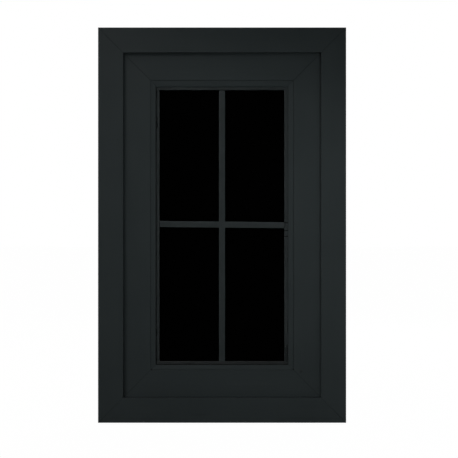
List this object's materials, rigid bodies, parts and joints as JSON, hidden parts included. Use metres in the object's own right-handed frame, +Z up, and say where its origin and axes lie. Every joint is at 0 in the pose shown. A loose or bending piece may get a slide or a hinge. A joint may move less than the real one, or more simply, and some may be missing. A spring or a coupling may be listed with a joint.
{
  "type": "shed window",
  "caption": "Fixed shed window: flat mitred casing round a recessed black vinyl frame, glazing beads and a sealed dark glass unit with slim bars crossing between its panes.",
  "frame": {"origin": "middle of the bottom nailing fin's back face, on the wall plane", "axes": "+X to the right seen from outside, +Y into the wall, +Z up; the front faces -Y"},
  "size_m": [0.635, 0.082, 1.012],
  "materials": {
    "black_vinyl": "satin, faint lengthwise grain",
    "gasket_rubber": "matt",
    "edge_sealant": "matt",
    "spacer_lacquer": "matt lacquer",
    "bar_lacquer": "satin lacquer",
    "keeper_plastic": "matt",
    "block_plastic": "matt",
    "clear_glass": "polished",
    "black_glass": "polished, black"
  },
  "bodies": {
    "root": {"bead_head": "black_vinyl", "bead_left": "black_vinyl", "bead_right": "black_vinyl", "bead_sill": "black_vinyl", "casing_head": "black_vinyl", "casing_left": "black_vinyl", "casing_right": "black_vinyl", "casing_sill": "black_vinyl", "edge_seal_head": "edge_sealant", "edge_seal_left": "edge_sealant", "edge_seal_right": "edge_sealant", "edge_seal_sill": "edge_sealant", "fin_head": "black_vinyl", "fin_left": "black_vinyl", "fin_right": "black_vinyl", "fin_sill": "black_vinyl", "frame_head": "black_vinyl", "frame_left": "black_vinyl", "frame_right": "black_vinyl", "frame_sill": "black_vinyl", "grid_bar_cross": "bar_lacquer", "grid_bar_lower": "bar_lacquer", "grid_bar_upper": "bar_lacquer", "grid_keepers": "keeper_plastic", "inner_gasket_head": "gasket_rubber", "inner_gasket_left": "gasket_rubber", "inner_gasket_right": "gasket_rubber", "inner_gasket_sill": "gasket_rubber", "inner_pane": "black_glass", "outer_gasket_head": "gasket_rubber", "outer_gasket_left": "gasket_rubber", "outer_gasket_right": "gasket_rubber", "outer_gasket_sill": "gasket_rubber", "outer_pane": "clear_glass", "setting_blocks": "block_plastic", "spacer_head": "spacer_lacquer", "spacer_left": "spacer_lacquer", "spacer_right": "spacer_lacquer", "spacer_sill": "spacer_lacquer"}
  },
  "joints": []
}
